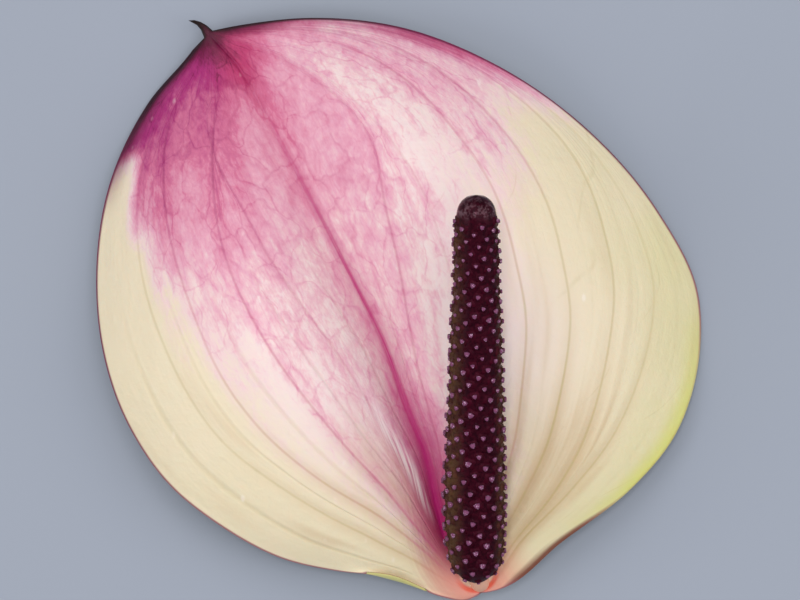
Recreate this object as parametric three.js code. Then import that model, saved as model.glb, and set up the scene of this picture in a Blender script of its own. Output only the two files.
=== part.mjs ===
import * as THREE from 'three';

// An anthurium flower, cut just under the bloom, lying with the face of the spathe up.
// Millimetres. X runs across the spathe, Y from its base towards its tip, Z up.

// Each outline row: how far along from base (0) to tip (1), then x, y, z.
const leftMargin = [
  [0.00, 16.2, -56.7, 8.8],
  [0.03, 12.4, -58.1, 7.8],
  [0.055, 8.0, -57.3, 7.2],
  [0.10, 0.0, -54.6, 7.0],
  [0.175, -12.0, -52.4, 8.0],
  [0.25, -24.0, -49.4, 9.4],
  [0.33, -36.0, -42.8, 10.2],
  [0.405, -46.0, -34.8, 9.6],
  [0.49, -54.2, -23.0, 7.6],
  [0.585, -59.4, -8.0, 5.2],
  [0.68, -60.8, 8.0, 3.4],
  [0.795, -57.6, 27.0, 1.6],
  [0.89, -50.5, 41.5, 0.3],
  [0.97, -42.0, 51.4, 2.0],
  [1.00, -38.9, 55.6, 3.4],
];
const rightMargin = [
  [0.00, 16.2, -56.7, 8.8],
  [0.02, 20.2, -55.7, 8.6],
  [0.095, 32.0, -46.6, 8.4],
  [0.18, 46.0, -36.0, 6.4],
  [0.255, 55.4, -24.6, 3.2],
  [0.33, 60.0, -10.0, 1.2],
  [0.40, 59.6, 4.0, 0.9],
  [0.485, 51.6, 19.6, 2.2],
  [0.59, 38.0, 35.4, 4.6],
  [0.70, 20.0, 48.2, 6.6],
  [0.805, 0.0, 56.2, 7.2],
  [0.895, -18.0, 58.1, 6.2],
  [0.965, -32.0, 56.8, 4.4],
  [1.00, -38.9, 55.6, 3.4],
];
const midrib = [
  [0.00, 16.2, -56.7, 8.8],
  [0.06, 11.2, -50.0, 9.6],
  [0.155, 7.4, -39.0, 10.8],
  [0.24, 4.8, -28.2, 12.2],
  [0.315, 1.4, -19.6, 13.6],
  [0.43, -3.4, -6.4, 14.8],
  [0.535, -9.2, 5.6, 15.4],
  [0.67, -17.0, 20.6, 14.2],
  [0.825, -26.4, 38.0, 9.6],
  [0.94, -33.5, 50.0, 5.0],
  [1.00, -38.9, 55.6, 3.4],
];

const lobeRise = 9.0; // how far each lobe arches above the line from midrib to margin
const lobeRisePeak = 0.5; // where along the spathe the arch is highest
const lobeRiseSlowness = 1.6; // above 1, the arch starts gently at the foot and the tip
const lobePeakPower = 0.9; // below 1, the arch is highest a little nearer the midrib than the margin
const marginRoll = 2.2; // how sharply the arch turns down into the margin
const valleyHalfWidth = 0.06; // the rounded floor of the valley along the midrib, as a share of the lobe
const marginWave = 0.6; // the slight wave along the margins
const marginWaves = 4.3; // how many of those waves there are from base to tip
const marginPower = 4; // how close to the margin the wave and the bulge's end stay
const collarRise = 2.0; // the soft bulge below the foot of the spadix
const collarRadius = 3.6; // how far the bulge's crest is from the foot
const collarWidth = 2.2;

const bladeThickness = 1.1;
const midribThickness = 0.9; // extra, on the back along the midrib
const midribHalfWidth = 0.08; // as a share of the lobe
const lastBladeRow = 0.975; // where the blade ends and the tail begins
const slopeStep = 0.004; // how far apart the places are that the blade's slope is read from
const slopeStart = 0.03; // the slope is not read nearer to the base, or to the tip, than this
const slopeEnd = 0.985;
const tailEndThickness = 0.3;
const rowsAlong = 44;
const columnsPerLobe = 15;

// The thin tail that the tip runs out into: each row is x, y, z, half width and half thickness.
const tailRows = [
  [-38.5, 55.2, 3.2, 1.1, 0.6],
  [-39.4, 56.5, 3.6, 0.75, 0.5],
  [-40.4, 57.3, 4.3, 0.5, 0.42],
  [-41.5, 57.7, 5.2, 0.38, 0.34],
];
const tailEnd = [-42.4, 57.8, 6.0];
const tailSideways = [0.76, 0.65, 0];
const tailEdge = 0.2; // the tail's edges keep this share of its thickness

// The spadix, with its short neck: each row is x, y, z and the radius there.
const spadixRows = [
  [15.9, -54.5, 10.3, 1.8],
  [15.8, -54.0, 11.4, 1.8],
  [15.5, -53.0, 13.5, 2.0],
  [15.2, -51.4, 15.4, 3.2],
  [15.0, -49.6, 16.7, 4.6],
  [14.8, -47.2, 17.8, 5.6],
  [14.7, -43.5, 19.3, 6.1],
  [14.7, -34.0, 22.8, 6.1],
  [14.8, -22.0, 27.2, 5.7],
  [14.8, -8.0, 32.4, 5.2],
  [14.8, 6.0, 37.6, 4.6],
  [14.7, 14.0, 40.5, 4.1],
  [14.7, 17.4, 41.7, 3.9],
  [14.6, 19.4, 42.5, 3.3],
  [14.6, 20.6, 42.9, 2.3],
  [14.6, 21.2, 43.1, 1.1],
];
const spadixTip = [14.6, 21.7, 43.2];
const spadixSides = 28;

// The cut end of the flower stalk under the spathe.
const stalkRows = [
  [16.0, -53.4, 7.1, 2.7],
  [16.0, -53.3, 5.6, 2.6],
  [16.1, -52.8, 3.4, 2.5],
  [16.4, -51.9, 0.2, 2.5],
];
const stalkSides = 28;

// A smooth line through uneven rows, read at the place `along`.
function readRow(rows, along) {
  let k = 0;
  while (k < rows.length - 2 && along > rows[k + 1][0]) k += 1;
  const span = rows[k + 1][0] - rows[k][0];
  const t = (along - rows[k][0]) / span;
  const slope = (i, column) => {
    const last = rows.length - 1;
    const rate = (a, b) => (rows[b][column] - rows[a][column]) / (rows[b][0] - rows[a][0]);
    if (i === 0) return rate(0, 1);
    if (i === last) return rate(last - 1, last);
    const before = rows[i][0] - rows[i - 1][0];
    const after = rows[i + 1][0] - rows[i][0];
    return (rate(i - 1, i) * after + rate(i, i + 1) * before) / (before + after);
  };
  return [1, 2, 3].map((column) => {
    const startSlope = slope(k, column) * span;
    const endSlope = slope(k + 1, column) * span;
    return (2 * t ** 3 - 3 * t ** 2 + 1) * rows[k][column]
      + (t ** 3 - 2 * t ** 2 + t) * startSlope
      + (3 * t ** 2 - 2 * t ** 3) * rows[k + 1][column]
      + (t ** 3 - t ** 2) * endSlope;
  });
}

// A point on the spathe's upper face: across from -1 (left margin) to 1 (right margin).
function spathePoint(across, along) {
  const side = Math.abs(across);
  const spine = readRow(midrib, along);
  const edge = readRow(across < 0 ? leftMargin : rightMargin, along);
  const x = spine[0] + (edge[0] - spine[0]) * side;
  const y = spine[1] + (edge[1] - spine[1]) * side;
  const alongPower = Math.log(0.5) / Math.log(lobeRisePeak);
  const archAlong = Math.sin(Math.PI * along ** alongPower) ** lobeRiseSlowness;
  const valley = 1 - Math.exp(-((side / valleyHalfWidth) ** 2));
  const archAcross = Math.sin(Math.PI * side ** lobePeakPower) * valley;
  const wave = Math.sin(2 * Math.PI * marginWaves * along + across) * Math.sin(Math.PI * along);
  const blend = side ** marginRoll;
  const foot = midrib[0];
  const fromFoot = Math.max(Math.hypot(x - foot[1], y - foot[2]), Number.EPSILON);
  const below = (1 - (y - foot[2]) / fromFoot) / 2;
  const collar = below ** 2 * Math.exp(-(((fromFoot - collarRadius) / collarWidth) ** 2));
  const z = spine[2] + (edge[2] - spine[2]) * blend
    + lobeRise * archAlong * archAcross
    + collarRise * collar * (1 - side ** marginPower)
    + marginWave * wave * side ** marginPower;
  return new THREE.Vector3(x, y, z);
}

function spatheNormal(across, along) {
  const a = Math.min(Math.max(along, slopeStart), slopeEnd);
  const c = Math.min(Math.max(across, slopeStep - 1), 1 - slopeStep);
  const sideways = spathePoint(c + slopeStep, a).sub(spathePoint(c - slopeStep, a));
  const lengthways = spathePoint(c, a + slopeStep).sub(spathePoint(c, a - slopeStep));
  return sideways.cross(lengthways).normalize();
}

function makeSpathe() {
  const across = [];
  for (let i = -columnsPerLobe; i <= columnsPerLobe; i += 1) across.push(i / columnsPerLobe);
  const upper = [];
  const lower = [];
  const points = [];
  const addPoint = (p) => points.push(p) - 1;
  const addPole = (p, thickness) => {
    const top = addPoint(p);
    const bottom = addPoint(p.clone().add(new THREE.Vector3(0, 0, -thickness)));
    upper[upper.length - 1] = across.map(() => top);
    lower[lower.length - 1] = across.map(() => bottom);
  };
  for (let j = 0; j <= rowsAlong; j += 1) {
    const along = (lastBladeRow * j) / rowsAlong;
    upper.push([]);
    lower.push([]);
    if (j === 0) {
      addPole(spathePoint(0, 0), bladeThickness);
      continue;
    }
    for (const c of across) {
      const p = spathePoint(c, along);
      const rib = Math.exp(-((c / midribHalfWidth) ** 2)) * (1 - along);
      const thickness = bladeThickness + midribThickness * rib;
      upper[j].push(addPoint(p));
      lower[j].push(addPoint(p.clone().addScaledVector(spatheNormal(c, along), -thickness)));
    }
  }
  const sideways = new THREE.Vector3(...tailSideways).normalize();
  for (const [x, y, z, halfWidth, halfThickness] of tailRows) {
    const edgePoint = (c, up) => {
      const height = halfThickness * Math.max(Math.sqrt(1 - c * c), tailEdge) * up;
      return addPoint(new THREE.Vector3(x, y, z + height).addScaledVector(sideways, c * halfWidth));
    };
    upper.push(across.map((c) => edgePoint(c, 1)));
    lower.push(across.map((c) => edgePoint(c, -1)));
  }
  upper.push([]);
  lower.push([]);
  addPole(new THREE.Vector3(...tailEnd), tailEndThickness);
  const faces = [];
  const addFace = (a, b, c) => {
    if (a !== b && b !== c && a !== c) faces.push(a, b, c);
  };
  const last = across.length - 1;
  for (let j = 0; j < upper.length - 1; j += 1) {
    for (let i = 0; i < last; i += 1) {
      addFace(upper[j][i], upper[j][i + 1], upper[j + 1][i + 1]);
      addFace(upper[j][i], upper[j + 1][i + 1], upper[j + 1][i]);
      addFace(lower[j][i + 1], lower[j][i], lower[j + 1][i + 1]);
      addFace(lower[j][i], lower[j + 1][i], lower[j + 1][i + 1]);
    }
    addFace(upper[j][0], upper[j + 1][0], lower[j][0]);
    addFace(upper[j + 1][0], lower[j + 1][0], lower[j][0]);
    addFace(upper[j + 1][last], upper[j][last], lower[j][last]);
    addFace(upper[j + 1][last], lower[j][last], lower[j + 1][last]);
  }
  return geometryFrom(points, faces);
}

// A closed round-sectioned body along rows of x, y, z and radius, with flat or pointed ends.
function makeRoundBody(rows, sides, startPoint, endPoint) {
  const centres = rows.map((row) => new THREE.Vector3(row[0], row[1], row[2]));
  const points = [];
  const faces = [];
  const rings = [];
  const axisX = new THREE.Vector3(1, 0, 0);
  rows.forEach((row, i) => {
    const before = centres[Math.max(i - 1, 0)];
    const after = centres[Math.min(i + 1, rows.length - 1)];
    const direction = after.clone().sub(before).normalize();
    const u = axisX.clone().addScaledVector(direction, -axisX.dot(direction)).normalize();
    const v = direction.clone().cross(u);
    const ring = [];
    for (let k = 0; k < sides; k += 1) {
      const angle = (2 * Math.PI * k) / sides;
      const p = centres[i].clone();
      p.addScaledVector(u, row[3] * Math.cos(angle));
      p.addScaledVector(v, row[3] * Math.sin(angle));
      ring.push(points.push(p) - 1);
    }
    rings.push(ring);
  });
  const first = points.push(startPoint ?? centres[0].clone()) - 1;
  const final = points.push(endPoint ?? centres[rows.length - 1].clone()) - 1;
  for (let k = 0; k < sides; k += 1) {
    const next = (k + 1) % sides;
    for (let i = 0; i < rings.length - 1; i += 1) {
      faces.push(rings[i][k], rings[i][next], rings[i + 1][next]);
      faces.push(rings[i][k], rings[i + 1][next], rings[i + 1][k]);
    }
    faces.push(first, rings[0][next], rings[0][k]);
    faces.push(final, rings[rings.length - 1][k], rings[rings.length - 1][next]);
  }
  return geometryFrom(points, faces);
}

function geometryFrom(points, faces) {
  const geometry = new THREE.BufferGeometry();
  const places = points.flatMap((p) => [p.x, p.y, p.z]);
  geometry.setAttribute('position', new THREE.Float32BufferAttribute(places, 3));
  geometry.setIndex(faces);
  geometry.computeVertexNormals();
  return geometry;
}

function addPiece(group, name, geometry, look) {
  const mesh = new THREE.Mesh(geometry, new THREE.MeshStandardMaterial(look));
  mesh.name = name;
  group.add(mesh);
}

const flower = new THREE.Group();
flower.name = 'anthurium_flower';
addPiece(flower, 'spathe', makeSpathe(), { color: 0xeaddc4, roughness: 0.4, metalness: 0 });
addPiece(
  flower,
  'spadix',
  makeRoundBody(spadixRows, spadixSides, null, new THREE.Vector3(...spadixTip)),
  { color: 0x36101c, roughness: 0.45, metalness: 0 },
);
addPiece(
  flower,
  'stalk',
  makeRoundBody(stalkRows, stalkSides, null, null),
  { color: 0x93a05a, roughness: 0.5, metalness: 0 },
);

// The origin is the middle of the flower's box, at the surface that it lies on.
const box = new THREE.Box3().setFromObject(flower);
const middle = box.getCenter(new THREE.Vector3());
const shift = new THREE.Vector3(-middle.x, -middle.y, -box.min.z);
flower.children.forEach((mesh) => mesh.geometry.translate(shift.x, shift.y, shift.z));

export default flower;
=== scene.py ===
import math
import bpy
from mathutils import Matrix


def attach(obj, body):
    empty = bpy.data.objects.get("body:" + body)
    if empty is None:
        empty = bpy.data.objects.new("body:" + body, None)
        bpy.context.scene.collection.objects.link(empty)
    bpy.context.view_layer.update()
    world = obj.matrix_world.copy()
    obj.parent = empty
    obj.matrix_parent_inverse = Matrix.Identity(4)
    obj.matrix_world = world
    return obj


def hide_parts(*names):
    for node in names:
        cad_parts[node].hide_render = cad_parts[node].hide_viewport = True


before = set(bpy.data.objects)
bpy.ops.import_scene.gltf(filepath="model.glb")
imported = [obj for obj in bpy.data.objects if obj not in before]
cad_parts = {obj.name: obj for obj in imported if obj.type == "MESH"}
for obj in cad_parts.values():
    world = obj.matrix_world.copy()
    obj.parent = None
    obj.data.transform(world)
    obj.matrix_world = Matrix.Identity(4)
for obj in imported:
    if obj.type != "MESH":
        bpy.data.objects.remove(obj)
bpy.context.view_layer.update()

from types import SimpleNamespace
import bpy
import numpy as np
from mathutils import Vector

mm = 0.001
placeInRow = np.array([0.203, -0.088, 0.559])  # mm, from the drawing's origin to the row's
midribLean = math.radians(-26)  # turns the midrib's way onto y


cameraSet = {
    "height": 900.0,  # mm above the blade
    "sensor": 36.0,
    "centreX": 0.2,
    "centreY": 1.71,
    "bladeHeight": 8.0,
    "widthSeen": 160.0,  # mm across the frame at the blade's height
}


def placeCamera(cfg):
    data = bpy.data.cameras.new("camera")
    data.sensor_width = cfg["sensor"]
    data.lens = cfg["sensor"] * cfg["height"] / cfg["widthSeen"]
    data.clip_start = 0.05
    data.clip_end = 20.0
    camera = bpy.data.objects.new("camera", data)
    camera.location = (cfg["centreX"] * mm, cfg["centreY"] * mm, (cfg["height"] + cfg["bladeHeight"]) * mm)
    bpy.context.scene.collection.objects.link(camera)
    bpy.context.scene.camera = camera
    bpy.context.scene.view_settings.view_transform = "Standard"


def addMesh(name, verts, faces, material):
    mesh = bpy.data.meshes.new(name)
    mesh.from_pydata([tuple(v) for v in verts], [], [tuple(f) for f in faces])
    mesh.validate()
    mesh.shade_smooth()
    obj = bpy.data.objects.new(name, mesh)
    bpy.context.scene.collection.objects.link(obj)
    mesh.materials.append(material)
    return obj


def storeFloat(mesh, name, values):
    layer = mesh.attributes.new(name, "FLOAT", "POINT")
    layer.data.foreach_set("value", np.asarray(values, dtype=np.float32).ravel())


# a smooth line through uneven rows (place, then its columns), read at many places
def readRows(rows, places):
    rows = np.asarray(rows, dtype=float)
    at, cols = rows[:, 0], rows[:, 1:]
    gaps = np.diff(at)
    rates = np.diff(cols, axis=0) / gaps[:, None]
    slopes = np.empty_like(cols)
    slopes[0], slopes[-1] = rates[0], rates[-1]
    for i in range(1, len(at) - 1):
        slopes[i] = (rates[i - 1] * gaps[i] + rates[i] * gaps[i - 1]) / (gaps[i - 1] + gaps[i])
    places = np.asarray(places, dtype=float)
    k = np.clip(np.searchsorted(at, places, side="right") - 1, 0, len(at) - 2)
    t = ((places - at[k]) / gaps[k])[..., None]
    gap = gaps[k][..., None]
    return ((2 * t**3 - 3 * t**2 + 1) * cols[k] + (t**3 - 2 * t**2 + t) * gap * slopes[k]
            + (3 * t**2 - 2 * t**3) * cols[k + 1] + (t**3 - t**2) * gap * slopes[k + 1])


def smoothStep(low, high, x):
    t = np.clip((x - low) / (high - low), 0, 1)
    return t * t * (3 - 2 * t)


def bell(x, centre, width):
    return np.exp(-(((x - centre) / width) ** 2))


class Nodes:
    # short hand for building a shader tree
    def __init__(self, name):
        self.material = bpy.data.materials.new(name)
        self.material.use_nodes = True
        self.tree = self.material.node_tree
        self.tree.nodes.clear()
        self.output = self.tree.nodes.new("ShaderNodeOutputMaterial")
        self.shader = self.tree.nodes.new("ShaderNodeBsdfPrincipled")
        self.link(self.shader.outputs[0], self.output.inputs["Surface"])

    def link(self, a, b):
        self.tree.links.new(a, b)

    def put(self, socket, value):
        if isinstance(value, bpy.types.NodeSocket):
            self.link(value, socket)
        else:
            socket.default_value = value

    def attribute(self, name):
        node = self.tree.nodes.new("ShaderNodeAttribute")
        node.attribute_name = name
        return node.outputs["Fac"]

    def objectPlace(self):
        return self.tree.nodes.new("ShaderNodeTexCoord").outputs["Object"]

    def part(self, vector, which):  # x, y or z of a vector, by number
        node = self.tree.nodes.new("ShaderNodeSeparateXYZ")
        self.put(node.inputs[0], vector)
        return node.outputs[which]

    def math(self, kind, a, b=0.0, clamp=False):
        node = self.tree.nodes.new("ShaderNodeMath")
        node.operation = kind
        node.use_clamp = clamp
        self.put(node.inputs[0], a)
        self.put(node.inputs[1], b)
        return node.outputs[0]

    def times(self, first, *others):
        for other in others:
            first = self.math("MULTIPLY", first, other)
        return first

    def plus(self, first, *others):
        for other in others:
            first = self.math("ADD", first, other)
        return first

    def centred(self, value, size):  # swings around zero by half of size each way
        return self.math("MULTIPLY", self.math("SUBTRACT", value, 0.5), size)

    def pair(self, x, y):
        node = self.tree.nodes.new("ShaderNodeCombineXYZ")
        self.put(node.inputs[0], x)
        self.put(node.inputs[1], y)
        return node.outputs[0]

    def leaned(self, vector):  # turned so that its y runs along the midrib
        node = self.tree.nodes.new("ShaderNodeMapping")
        self.put(node.inputs["Vector"], vector)
        node.inputs["Rotation"].default_value = (0.0, 0.0, midribLean)
        return node.outputs[0]

    def scaled(self, vector, scale):
        node = self.tree.nodes.new("ShaderNodeMapping")
        self.put(node.inputs["Vector"], vector)
        node.inputs["Scale"].default_value = scale
        return node.outputs[0]

    def addVectors(self, a, b):
        node = self.tree.nodes.new("ShaderNodeVectorMath")
        node.operation = "ADD"
        self.put(node.inputs[0], a)
        self.put(node.inputs[1], b)
        return node.outputs[0]

    def noise(self, vector, scale, detail=2.0, roughness=0.5, colour=False):
        node = self.tree.nodes.new("ShaderNodeTexNoise")
        self.put(node.inputs["Vector"], vector)
        node.inputs["Scale"].default_value = scale
        node.inputs["Detail"].default_value = detail
        node.inputs["Roughness"].default_value = roughness
        return node.outputs["Color" if colour else "Fac"]

    def cells(self, vector, scale, feature):
        node = self.tree.nodes.new("ShaderNodeTexVoronoi")
        node.feature = feature
        self.put(node.inputs["Vector"], vector)
        node.inputs["Scale"].default_value = scale
        return node.outputs["Distance"]

    def span(self, value, fromLow, fromHigh, toLow=0.0, toHigh=1.0, smooth=True):
        node = self.tree.nodes.new("ShaderNodeMapRange")
        node.interpolation_type = "SMOOTHSTEP" if smooth else "LINEAR"
        self.put(node.inputs["Value"], value)
        self.put(node.inputs["From Min"], fromLow)
        self.put(node.inputs["From Max"], fromHigh)
        self.put(node.inputs["To Min"], toLow)
        self.put(node.inputs["To Max"], toHigh)
        return node.outputs["Result"]

    def mix(self, factor, a, b):
        node = self.tree.nodes.new("ShaderNodeMix")
        node.data_type = "RGBA"
        self.put(node.inputs[0], factor)
        self.put(node.inputs[6], a)
        self.put(node.inputs[7], b)
        return node.outputs[2]

    def ramp(self, value, stops):
        node = self.tree.nodes.new("ShaderNodeValToRGB")
        elements = node.color_ramp.elements
        while len(elements) > 1:
            elements.remove(elements[-1])
        elements[0].position, elements[0].color = stops[0]
        for position, colour in stops[1:]:
            elements.new(position).color = colour
        self.put(node.inputs[0], value)
        return node.outputs[0]

    def bump(self, height, distance, strength):
        node = self.tree.nodes.new("ShaderNodeBump")
        node.inputs["Strength"].default_value = strength
        node.inputs["Distance"].default_value = distance
        self.put(node.inputs["Height"], height)
        return node.outputs[0]

    def finish(self, **sockets):
        for name, value in sockets.items():
            self.put(self.shader.inputs[name.replace("_", " ")], value)
        return self.material


def tone(red, green, blue):  # screen colour, 0 to 255, to the linear one the nodes want
    parts = []
    for part in (red, green, blue):
        c = part / 255.0
        parts.append(c / 12.92 if c <= 0.04045 else ((c + 0.055) / 1.055) ** 2.4)
    return (*parts, 1.0)


spatheSet = {
    # along the blade from foot (0) to tip (1), then x, y, z in mm
    "leftMargin": [
        (0.00, 16.2, -56.7, 8.8), (0.03, 12.4, -58.1, 7.8), (0.055, 8.0, -57.3, 7.2),
        (0.10, 0.0, -54.6, 7.0),
        (0.175, -12.0, -52.4, 8.0), (0.25, -24.0, -49.4, 9.4), (0.33, -36.0, -42.8, 10.2),
        (0.405, -46.0, -34.8, 9.6), (0.49, -54.2, -23.0, 7.6), (0.585, -59.4, -8.0, 5.2),
        (0.68, -60.8, 8.0, 3.4), (0.795, -57.6, 27.0, 1.6), (0.89, -50.5, 41.5, 0.3),
        (0.97, -42.0, 51.4, 2.0), (1.00, -38.9, 55.6, 3.4),
    ],
    "rightMargin": [
        (0.00, 16.2, -56.7, 8.8), (0.02, 20.2, -55.7, 8.6), (0.095, 32.0, -46.6, 8.4),
        (0.18, 46.0, -36.0, 6.4),
        (0.255, 55.4, -24.6, 3.2), (0.33, 60.0, -10.0, 1.2), (0.40, 59.6, 4.0, 0.9),
        (0.485, 51.6, 19.6, 2.2), (0.59, 38.0, 35.4, 4.6), (0.70, 20.0, 48.2, 6.6),
        (0.805, 0.0, 56.2, 7.2), (0.895, -18.0, 58.1, 6.2), (0.965, -32.0, 56.8, 4.4),
        (1.00, -38.9, 55.6, 3.4),
    ],
    "midrib": [
        (0.00, 16.2, -56.7, 8.8), (0.06, 11.2, -50.0, 9.6), (0.155, 7.4, -39.0, 10.8),
        (0.24, 4.8, -28.2, 12.2),
        (0.315, 1.4, -19.6, 13.6), (0.43, -3.4, -6.4, 14.8), (0.535, -9.2, 5.6, 15.4),
        (0.67, -17.0, 20.6, 14.2), (0.825, -26.4, 38.0, 9.6), (0.94, -33.5, 50.0, 5.0),
        (1.00, -38.9, 55.6, 3.4),
    ],
    "lobeRise": 9.0, "archPower": 0.9, "lobeRiseSlowness": 1.6, "marginRoll": 2.2,
    "marginPower": 4, "valleyHalfWidth": 0.06, "marginWave": 0.6, "marginWaves": 4.3,
    "collarRise": 2.0, "collarRadius": 3.6, "collarWidth": 2.2,
    "bladeEnd": 0.975,
    # x, y, z, half width, half thickness of the tail
    "tail": [
        (-38.5, 55.2, 3.2, 1.1, 0.5), (-39.4, 56.5, 3.6, 0.72, 0.42), (-40.4, 57.3, 4.3, 0.48, 0.36),
        (-41.5, 57.7, 5.2, 0.34, 0.3),
    ],
    "tailEnd": (-42.4, 57.8, 6.0),
    "tailSideways": (0.76, 0.65, 0.0),
    "tailEdge": 0.04, "tailRim": 1.02, "tailRimHeight": 0.1, "tailBlend": 0.012,
    "thickness": 0.85, "rimThickness": 0.5, "rimTaper": 5,
    "columnsPerLobe": 78, "rowsAlong": 200, "columnCrowding": 1.12,
    "curlAlong": 0.115, "curlWidth": 0.042, "curlFrom": 0.86, "curlTurn": 3.3, "curlSize": 1.3,
    "curlReach": 0.55, "curlLift": 0.8,
    "neckAt": (15.1, -51.9),
    "grooveDepth": 0.3, "ridgeHeight": 0.3,
    # widths and depths of the veins in mm, and what is added to them near the foot
    "veinWidth": 0.55, "veinWidthAtFoot": 0.9, "veinDepth": 0.35, "veinDepthAtFoot": 0.9, "deepestVein": 1.2,
    "midWidth": 0.45, "midWidthAtFoot": 1.0, "midDepth": 1.3, "midRidge": 2.2,
}

# each main vein: place along the blade, then how far across its lobe it lies, and its strength
veinSet = {
    "veinA": {"lane": [
        (0.0, -0.52), (0.3, -0.66), (0.42, -0.72), (0.55, -0.75), (0.68, -0.79), (0.82, -0.81), (1.0, -0.8),
    ], "strength": 0.55},
    "veinB": {"lane": [
        (0.0, -0.34), (0.17, -0.42), (0.3, -0.52), (0.45, -0.585), (0.6, -0.61), (0.75, -0.66),
        (0.87, -0.68), (1.0, -0.5),
    ], "strength": 0.8},
    "veinC": {"lane": [
        (0.0, -0.22), (0.21, -0.30), (0.35, -0.34), (0.5, -0.39), (0.69, -0.42), (0.79, -0.385),
        (0.9, -0.31), (1.0, -0.3),
    ], "strength": 1.0},
    "veinD": {"lane": [
        (0.0, -0.06), (0.2, -0.11), (0.35, -0.15), (0.48, -0.19), (0.6, -0.25), (0.7, -0.30), (0.79, -0.38),
        (1.0, -0.4),
    ], "strength": 0.7},
    "veinE": {"lane": [
        (0.0, 0.05), (0.3, 0.07), (0.42, 0.09), (0.53, 0.16), (0.62, 0.235), (0.72, 0.37), (0.83, 0.41),
        (1.0, 0.36),
    ], "strength": 0.8},
    "veinF": {"lane": [
        (0.0, 0.28), (0.25, 0.36), (0.36, 0.41), (0.46, 0.48), (0.58, 0.58), (0.66, 0.63), (0.78, 0.71),
        (0.9, 0.74), (1.0, 0.7),
    ], "strength": 0.9},
    "veinG": {"lane": [
        (0.0, 0.42), (0.2, 0.475), (0.31, 0.52), (0.43, 0.6), (0.54, 0.70), (0.66, 0.78), (0.76, 0.835),
        (0.88, 0.85), (1.0, 0.8),
    ], "strength": 0.9},
    "veinH": {"lane": [
        (0.0, 0.55), (0.15, 0.61), (0.27, 0.64), (0.38, 0.70), (0.47, 0.79), (0.57, 0.88), (0.68, 0.925),
        (0.85, 0.94), (1.0, 0.9),
    ], "strength": 0.7},
    "veinI": {"lane": [
        (0.0, 0.62), (0.12, 0.66), (0.24, 0.735), (0.37, 0.83), (0.48, 0.91), (0.57, 0.95), (0.7, 0.97),
        (1.0, 0.97),
    ], "strength": 0.5},
    "veinJ": {"lane": [
        (0.0, 0.18), (0.25, 0.22), (0.4, 0.25), (0.52, 0.31), (0.62, 0.38), (0.72, 0.43), (0.84, 0.47),
        (1.0, 0.45),
    ], "strength": 0.45},
}

# how strongly the magenta flushes the blade: lane across, then (along, strength) places
flushLanes = {
    -1.0: [(0.0, 0.1), (0.5, 0.03), (0.74, 0.04), (0.8, 0.2), (0.83, 0.85), (0.88, 0.98), (1.0, 1.0)],
    -0.88: [
        (0.0, 0.05), (0.6, 0.0), (0.77, 0.03), (0.805, 0.2), (0.825, 0.72), (0.88, 0.8), (0.95, 0.9),
        (1.0, 1.0),
    ],
    -0.79: [
        (0.0, 0.05), (0.55, 0.0), (0.68, 0.06), (0.73, 0.4), (0.78, 0.64), (0.85, 0.72), (0.91, 0.7),
        (0.96, 0.9),
        (1.0, 1.0),
    ],
    -0.68: [
        (0.0, 0.05), (0.4, 0.04), (0.5, 0.06), (0.6, 0.14), (0.67, 0.36), (0.74, 0.52), (0.8, 0.64),
        (0.88, 0.64), (0.95, 0.84),
        (1.0, 1.0),
    ],
    -0.5: [
        (0.0, 0.08), (0.3, 0.08), (0.4, 0.11), (0.5, 0.17), (0.6, 0.28), (0.7, 0.44), (0.8, 0.56),
        (0.88, 0.6),
        (0.94, 0.86), (1.0, 1.0),
    ],
    -0.3: [
        (0.0, 0.14), (0.2, 0.16), (0.4, 0.19), (0.5, 0.23), (0.6, 0.3), (0.7, 0.42), (0.8, 0.54),
        (0.88, 0.6),
        (0.94, 0.88), (1.0, 1.0),
    ],
    -0.1: [
        (0.0, 0.4), (0.2, 0.34), (0.35, 0.28), (0.5, 0.27), (0.6, 0.3), (0.7, 0.38), (0.8, 0.46),
        (0.88, 0.64),
        (0.94, 0.9), (1.0, 1.0),
    ],
    0.1: [
        (0.0, 0.4), (0.2, 0.34), (0.35, 0.24), (0.5, 0.25), (0.6, 0.29), (0.7, 0.4), (0.8, 0.5),
        (0.88, 0.62),
        (0.94, 0.88), (1.0, 1.0),
    ],
    0.3: [
        (0.0, 0.2), (0.3, 0.1), (0.45, 0.12), (0.6, 0.25), (0.7, 0.36), (0.8, 0.44), (0.88, 0.46),
        (0.94, 0.78), (1.0, 1.0),
    ],
    0.5: [
        (0.0, 0.1), (0.35, 0.03), (0.5, 0.08), (0.6, 0.16), (0.7, 0.2), (0.8, 0.26), (0.88, 0.32),
        (0.96, 0.7), (1.0, 1.0),
    ],
    0.7: [
        (0.0, 0.05), (0.5, 0.0), (0.57, 0.1), (0.65, 0.24), (0.75, 0.26), (0.85, 0.28), (0.92, 0.4),
        (0.965, 0.85), (1.0, 1.0),
    ],
    0.88: [
        (0.0, 0.05), (0.55, 0.0), (0.63, 0.06), (0.7, 0.24), (0.78, 0.3), (0.87, 0.28), (0.93, 0.5),
        (0.97, 0.9), (1.0, 1.0),
    ],
    1.0: [(0.0, 0.05), (0.58, 0.04), (0.69, 0.22), (0.78, 0.32), (0.88, 0.3), (0.95, 0.75), (1.0, 1.0)],
}


rimTurns = (math.radians(45), 0.0, math.radians(-45))  # round the blade's edge, from the face to the back


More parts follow.
